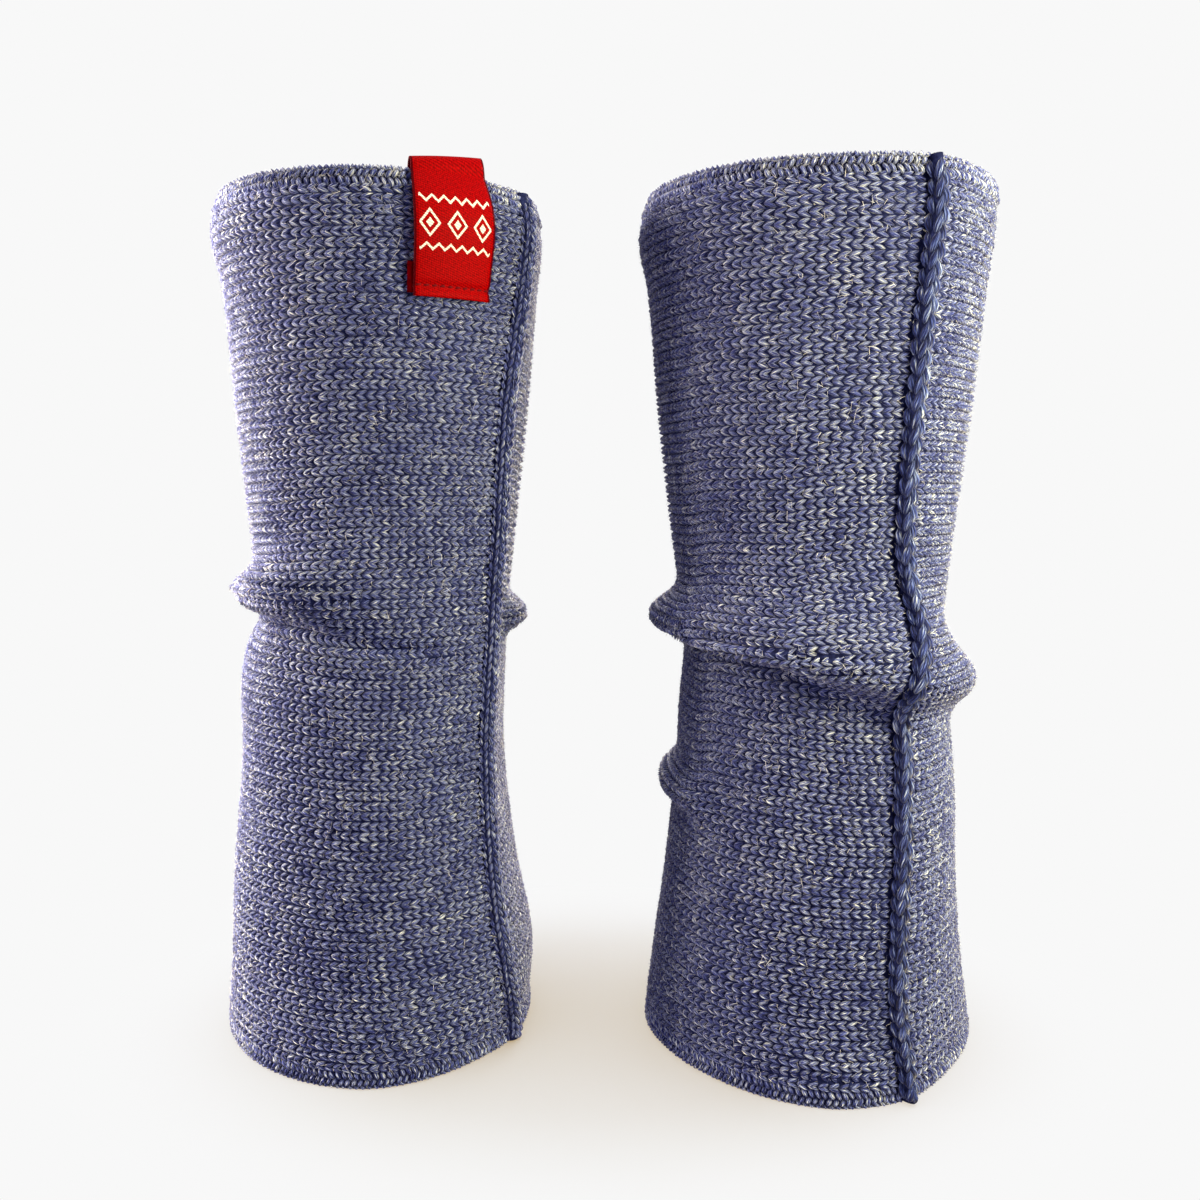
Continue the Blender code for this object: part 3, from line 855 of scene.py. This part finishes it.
# ring of the cloth and way round it; start along the band and slant of each row of strands
rimLoops = {
    "name": "_rim_loops", "node": "_top_edge", "place": onRim, "yarn": rimYarn, "ring": -1, "way": -1.0,
    "strands": ((-0.9, 0.8), (0.8, -0.8), (2.5, 0.8), (4.2, -0.8)),
}
hemLoops = {
    "name": "_hem_loops", "node": "_bottom_edge", "place": onHem, "yarn": hemYarn, "ring": 0, "way": 1.0,
    "strands": ((-0.6, 0.7), (1.0, -0.7), (2.6, 0.7), (4.0, -0.7)),
}


def makeEdge(tube, loops):
    name = tube["name"] + loops["name"]
    count = int(round(tube["girth"][loops["ring"]] / edge["pitch"]))
    bands = []
    for number, (start, lean) in enumerate(loops["strands"]):
        band = makeLeg(name, {**edge["leg"], "start": (start, -lean / 2), "climb": lean})
        strandPoints = len(band.data.vertices)
        repeat(band, count, (0.0, edge["pitch"], 0.0), 0.0, 1.0)
        points = readPoints(band)
        index = np.arange(len(points)) // strandPoints
        points += rng.normal(0.0, edge["jitter"], (count, 3))[index]
        across = (points[:, 1] / edge["pitch"] + 0.5 * number) / count * loops["way"]
        writePoints(band, loops["place"](tube, across % 1.0, points[:, 0], points[:, 2]) * mm)
        tone, key = rng.uniform(0.0, 1.0, (2, count))[:, index]
        paintHeather(band, tone, riseOf(points[:, 2], edge["leg"]), key)
        band.data.materials.append(loops["yarn"])
        bands.append(band)
    piece = joined(bands, name)
    finishPiece(piece, [tube["name"] + loops["node"]])
    return piece


# Seam: turned-out edges of the cloth, whipped together with chain stitches
leftSeam = {
    "half": 2.4, "rise": 1.9, "base": 0.3, "pitch": 2.1, "low": -0.6, "high": 0.7, "yarn": beadYarn,
    # angle across the ridge, slant, length and width of a strand, start along; the first is a
    # single wide loop at its foot
    "strands": (
        (0.0, 0.0, 3.0, 3.4, 0.0), (-84.0, 0.6, 2.6, 1.2, 0.0), (-50.0, -0.7, 2.7, 1.35, 1.0),
        (-14.0, 0.7, 2.7, 1.35, 0.3), (22.0, -0.7, 2.7, 1.35, 1.3), (60.0, 0.6, 2.6, 1.2, 0.6),
    ),
}
rightSeam = {
    "half": 1.4, "rise": 2.9, "base": 0.3, "pitch": 3.5, "low": -0.7, "high": 1.0, "yarn": chainYarn,
    "strands": (
        (0.0, 0.0, 4.4, 3.6, 0.2), (-80.0, 0.4, 4.6, 1.1, 0.6), (-28.0, -1.1, 5.2, 2.0, 0.0),
        (24.0, 1.1, 5.2, 2.0, 1.7), (76.0, -0.4, 3.6, 1.3, 0.4),
    ),
}
ridge = {"columns": 10, "rows": 150, "under": 0.25, "sunk": 1.6, "offFloor": 0.4}
chain = {"jitter": 0.08, "endGap": 1.0, "offFloor": 0.5, "middle": 0.4}


def onRidge(tube, seam, angle, along, out):
    # angle is across the ridge from its left foot, -90, to its right foot, 90
    turned = np.radians(angle)
    width = (seam["half"] + out) * np.sin(turned)
    lift = seam["base"] + (seam["rise"] + out) * np.cos(turned)
    row = np.clip(along, 0.0, 1.0) * (clothGrid["samples"] - 1)
    outward, shift = (gridRead(tube[key], row, 0.0 * row) for key in ("outward", "bridging"))
    return onCloth(tube, width / tube["girth"].mean(), along, 0.0 * lift) + outward * lift[:, None] + shift


def makeRidge(tube, seam):
    piece, across, along = addGrid(tube["name"] + "_seam_ridge", ridge["columns"], ridge["rows"])
    angle = (across - 0.5) * 180.0
    low = ridge["offFloor"] / clothGrid["standing"]
    along = low + along * (1.0 - low)
    points = onRidge(tube, seam, angle, along, 0.0 * angle - ridge["under"])
    row = along * (clothGrid["samples"] - 1)
    feet = np.abs(angle) > 89.0
    points[feet] -= ridge["sunk"] * gridRead(tube["outward"], row, 0.0 * row)[feet]
    writePoints(piece, points * mm)
    piece.data.materials.append(groundYarn)
    finishPiece(piece, [tube["name"] + "_seam"])
    return piece


def makeChain(tube, seam):
    chains = []
    length = tube["length"]
    for number, (angle, lean, run, width, start) in enumerate(seam["strands"]):
        shape = {
            "segments": 6, "curl": 0.5, "skew": 1.0, "taper": 0.55, "slant": 0.0, "shoulder": 0.3,
            "start": (0.0, -lean / 2), "run": run, "climb": lean, "width": width,
            "low": seam["low"], "high": seam["high"],
        }
        piece = makeLeg(tube["name"] + "_seam_chain", shape)
        legPoints = len(piece.data.vertices)
        count = int((length - start - chain["endGap"]) / seam["pitch"]) if number else 1
        repeat(piece, count, (seam["pitch"], 0.0, 0.0), 1.0, 0.0)
        points = readPoints(piece)
        index = np.arange(len(points)) // legPoints
        points += rng.normal(0.0, chain["jitter"], (count, 3))[index]
        lowest = chain["offFloor"] / clothGrid["standing"]
        along = np.clip((points[:, 0] + start) / length, lowest, 1.0)
        turned = angle - np.degrees(points[:, 1] / (seam["half"] + chain["middle"]))
        writePoints(piece, onRidge(tube, seam, turned, along, points[:, 2]) * mm)
        tone, key = rng.uniform(0.0, 1.0, (2, count))[:, index]
        paintHeather(piece, tone, riseOf(points[:, 2], shape), key)
        piece.data.materials.append(seam["yarn"])
        chains.append(piece)
    piece = joined(chains, tube["name"] + "_seam_chain")
    finishPiece(piece)
    return piece


# Fuzz: loose fibre ends that stand off the yarn, pale against the edge of the cloth
fuzz = {
    "count": 26000, "length": (0.5, 1.3), "width": 0.07, "lean": 0.8, "lift": 0.6, "from": 0.35,
    "atRim": 0.08, "heights": (0.015, 0.99),
}


def makeFuzz(tube):
    count = fuzz["count"]
    piece, across, along = addGrid(tube["name"] + "_fuzz_fibres", 1, 1)
    repeat(piece, count, (2.0, 0.0, 0.0), 0.0, 0.0)
    index = np.arange(len(piece.data.vertices)) // 4
    side, up = np.tile(across, count), np.tile(along, count)
    low, high = fuzz["heights"]
    height = np.where(rng.uniform(0.0, 1.0, count) < fuzz["atRim"], high, rng.uniform(low, high, count))
    start = np.stack((rng.uniform(0.0, 1.0, count), height + rng.uniform(0.0, 0.01, count)))[:, index]
    length = rng.uniform(*fuzz["length"], count)[index]
    lean = rng.normal(0.0, fuzz["lean"], (2, count))[:, index]
    turned = rng.uniform(0.0, math.pi, count)[index]
    width = (side - 0.5) * fuzz["width"] * (1.0 - 0.7 * up)
    x = lean[0] * length * up**1.5 + width * np.cos(turned)
    y = lean[1] * length * up**1.5 + width * np.sin(turned)
    across, along = start[0] + x / tube["girth"].mean(), start[1] + y / tube["length"]
    writePoints(piece, onCloth(tube, across, along, fuzz["from"] + length * up * fuzz["lift"]) * mm)
    tone = rng.uniform(0.0, 1.0, count)[index]
    paintHeather(piece, tone, tone, tone)
    piece.data.materials.append(fuzzFibre)
    finishPiece(piece)
    return piece


# Ribbon label over the left rim
label = {
    "azimuth": 30.0, "width": 17.0, "drop": 26.0, "overRim": 13.4, "insideDrop": 16.0, "thickness": 0.35,
    "standOff": 1.75, "bulge": 1.3, "columns": 16, "rows": 90,
    "sewnAt": 2.3, "threadPitch": 1.7, "threadIn": 0.3, "threadSunk": 0.3,
    "tuckFrom": 0.6, "tuckLength": 6.5, "tuckShift": -1.1, "tuckUnder": 0.7,
    "press": (0.5, 0.7), "flare": 0.4,
    "rise": (3.9, 2.2),  # of its fold above the rim, and how much higher on its right
}
ribbonTurn = math.pi * (label["standOff"] + label["thickness"])
ribbonLength = label["drop"] + ribbonTurn + label["insideDrop"]
# Figure on the ribbon, in millimetres: open diamonds between two zigzag lines
figurePlan = {
    "middle": 15.0, "halfStep": 2.75, "squeeze": 1.25, "ring": 2.35, "ringLine": 0.34, "core": 0.95,
    "zigzag": 1.2, "upper": 18.9, "lower": 11.1, "line": 0.3, "margin": 1.0, "edgeShade": 0.4,
}


def acrossAt(tube, azimuth, along):
    rows = np.clip((along * (clothGrid["samples"] - 1)).astype(int), 0, clothGrid["samples"] - 1)
    levels, which = np.unique(rows, return_inverse=True)
    places = []
    for row in levels:
        turned = (tube["azimuth"][row] - tube["azimuth"][row][0]) % 360.0
        turned[-1] = 360.0
        wanted = (azimuth - tube["azimuth"][row][0]) % 360.0
        places.append(np.interp(wanted, turned, np.linspace(0.0, 1.0, len(turned))))
    return np.array(places)[which]


def onRibbon(tube, side, length, lift):
    # side is in millimetres from the ribbon's middle, length runs from its sewn end up and over
    top = label["drop"]
    outer = np.clip(length, 0.0, top)
    inner = np.clip(length - top - ribbonTurn, 0.0, label["insideDrop"])
    along = 1.0 - (top - outer + inner) / clothGrid["standing"]
    across = acrossAt(tube, label["azimuth"], along) + side / tube["girth"][-1]
    bend = np.clip((length - top) / ribbonTurn, 0.0, 1.0) * math.pi
    bow = label["bulge"] * np.sin(math.pi * np.clip(length / top, 0.0, 1.0)) ** 1.2
    out = (label["standOff"] + lift + bow) * np.cos(bend)
    place = onCloth(tube, across, along, out)
    place[:, 2] += np.sin(bend) * (label["rise"][0] + label["rise"][1] * side / label["width"] + lift)
    return place


def ribbonMaterial():
    # Woven polyester satin ribbon: fine twill lines, a slight gloss, off-white figure threads
    made, tree, shader = newMaterial("Red woven ribbon satin", 0.55)
    shader.inputs["Specular IOR Level"].default_value = 0.02
    scale = (label["width"], ribbonLength, 1.0)
    size = addNode(tree, "ShaderNodeMapping", inputs={"Vector": clothPlace(tree), "Scale": scale})
    x, y = axesOf(tree, size.outputs[0])[:2]  # millimetres on the ribbon
    slant = mathNode(tree, "MULTIPLY_ADD", y, 1.6, mathNode(tree, "MULTIPLY", x, 0.55))
    ribs = mathNode(tree, "SINE", mathNode(tree, "MULTIPLY", slant, 8.0))
    threads = mathNode(tree, "SINE", mathNode(tree, "MULTIPLY", x, 14.0))
    weave = mathNode(tree, "MULTIPLY_ADD", threads, 0.25, mathNode(tree, "MULTIPLY", ribs, 0.5))
    tone = mathNode(tree, "MULTIPLY_ADD", weave, 0.28, noiseOf(tree, size.outputs[0], 2.4, 3.0))
    red = rampOf(tree, tone, ((0.25, "#5C0000"), (0.5, "#800000"), (0.8, "#A00202")))
    # Figure threads
    plan = figurePlan
    cell = mathNode(tree, "PINGPONG", mathNode(tree, "ADD", x, -0.25), plan["halfStep"])
    aside = mathNode(tree, "SUBTRACT", plan["halfStep"], cell)
    rise = mathNode(tree, "ABSOLUTE", mathNode(tree, "SUBTRACT", y, plan["middle"]))
    diamond = mathNode(tree, "MULTIPLY_ADD", aside, plan["squeeze"], rise)
    ring = mathNode(tree, "ABSOLUTE", mathNode(tree, "SUBTRACT", diamond, plan["ring"]))
    ring = mathNode(tree, "LESS_THAN", ring, plan["ringLine"])
    core = mathNode(tree, "LESS_THAN", diamond, plan["core"])
    zig = mathNode(tree, "PINGPONG", x, plan["zigzag"])
    upper = mathNode(tree, "SUBTRACT", mathNode(tree, "SUBTRACT", y, plan["upper"]), zig)
    lower = mathNode(tree, "SUBTRACT", mathNode(tree, "SUBTRACT", plan["lower"], y), zig)
    lines = [mathNode(tree, "ABSOLUTE", line) for line in (upper, lower)]
    lines = mathNode(tree, "LESS_THAN", mathNode(tree, "MINIMUM", *lines), plan["line"])
    figure = mathNode(tree, "MAXIMUM", mathNode(tree, "MAXIMUM", ring, core), lines)
    # Length to the nearer long edge: the figure keeps off it, and a thin strip along each edge, the
    # selvedge, is a deeper red that is painted shade
    toEdge = mathNode(tree, "ABSOLUTE", mathNode(tree, "SUBTRACT", x, label["width"] / 2))
    toEdge = mathNode(tree, "SUBTRACT", label["width"] / 2, toEdge)
    figure = mathNode(tree, "MULTIPLY", figure, mathNode(tree, "GREATER_THAN", toEdge, plan["margin"]))
    # Painted shade on the selvedge: a thin strip along each long edge in a deeper red
    edgeShade = mathNode(tree, "LESS_THAN", toEdge, plan["edgeShade"])
    thread = rampOf(tree, mathNode(tree, "MULTIPLY_ADD", ribs, 0.5), ((0.2, "#B9A58F"), (0.7, "#DDD2C2")))
    edgeShadedRed = mixOf(tree, edgeShade, red, hexColour("#460004"))
    tree.links.new(mixOf(tree, figure, edgeShadedRed, thread), shader.inputs["Base Color"])
    addBump(tree, shader, mathNode(tree, "MULTIPLY_ADD", figure, 1.2, weave), 0.35, 0.08)
    return made


def makeThread(tube):
    # Lockstitches that hold the ribbon's foot to the cloth
    thread = {
        "segments": 4, "curl": 0.0, "skew": 1.0, "taper": 0.4, "start": (0.0, 0.0), "run": 1.5,
        "climb": 0.2, "width": 0.5, "slant": 0.0, "low": -0.25, "high": 0.3, "shoulder": 0.3,
    }
    piece = makeLeg("left_label_thread", thread)
    repeat(piece, int(label["width"] / label["threadPitch"]), (label["threadPitch"], 0.0, 0.0), 0.0, 0.0)
    points = readPoints(piece)
    side = points[:, 0] - label["width"] / 2 + label["threadIn"]
    lift = points[:, 2] - label["threadSunk"]
    writePoints(piece, onRibbon(tube, side, label["sewnAt"] + points[:, 1], lift) * mm)
    made, tree, shader = newMaterial("Dark red sewing thread", 0.7)
    split = axesOf(tree, clothPlace(tree))
    twist = mathNode(tree, "MULTIPLY_ADD", split[0], 16.0, split[1])
    shade = mathNode(tree, "ABSOLUTE", mathNode(tree, "SINE", mathNode(tree, "MULTIPLY", twist, 3.0)))
    tree.links.new(rampOf(tree, shade, ((0.2, "#2E0002"), (0.8, "#6A0206"))), shader.inputs["Base Color"])
    piece.data.materials.append(made)
    finishPiece(piece)
    return piece


def undersideMaterial():
    # Turned-under end in the shade: dull, with no satin gloss; its darker red than the ribbon is painted
    # shade
    made, tree, shader = newMaterial("Red ribbon underside", 0.9)
    shader.inputs["Specular IOR Level"].default_value = 0.0
    shade = noiseOf(tree, objectPlace(tree), 900.0, 2.0)
    tree.links.new(rampOf(tree, shade, ((0.3, "#3C0002"), (0.7, "#580003"))), shader.inputs["Base Color"])
    return made


def makeLabel(tube):
    piece, across, along = addGrid("left_ribbon_label", label["columns"], label["rows"])
    length = along * ribbonLength
    depth, width = label["press"]
    press = depth * np.exp(-(((length - label["sewnAt"]) / width) ** 2))
    flare = label["flare"] * np.clip(1.0 - length / label["sewnAt"], 0.0, 1.0)
    writePoints(piece, onRibbon(tube, (across - 0.5) * label["width"], length, flare - press) * mm)
    thicken(piece, label["thickness"])
    piece.data.materials.append(ribbonMaterial())
    finishPiece(piece, ["left_label"])
    tuck, across, along = addGrid("left_ribbon_tuck", 8, 8)
    side = (across - 0.5) * label["width"] + label["tuckShift"]
    length = along * label["tuckLength"] + label["tuckFrom"]
    writePoints(tuck, onRibbon(tube, side, length, 0.0 * along - label["tuckUnder"]) * mm)
    thicken(tuck, label["thickness"])
    tuck.data.materials.append(undersideMaterial())
    finishPiece(tuck)
    return piece, [tuck, makeThread(tube)]


for tube, seam in ((leftTube, leftSeam), (rightTube, rightSeam)):
    tube["cloth"], stitches = makeKnit(tube)
    edges = [makeEdge(tube, loops) for loops in (rimLoops, hemLoops)]
    tube["onIt"] = [*stitches, *edges, makeRidge(tube, seam), makeChain(tube, seam), makeFuzz(tube)]
    print(tube["name"], "edges and seam done")
ribbon, onRibbonPieces = makeLabel(leftTube)
print("label done")

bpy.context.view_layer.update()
triangles = sum(len(f.vertices) - 2 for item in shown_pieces() for f in item.data.polygons)
print("triangles", triangles)
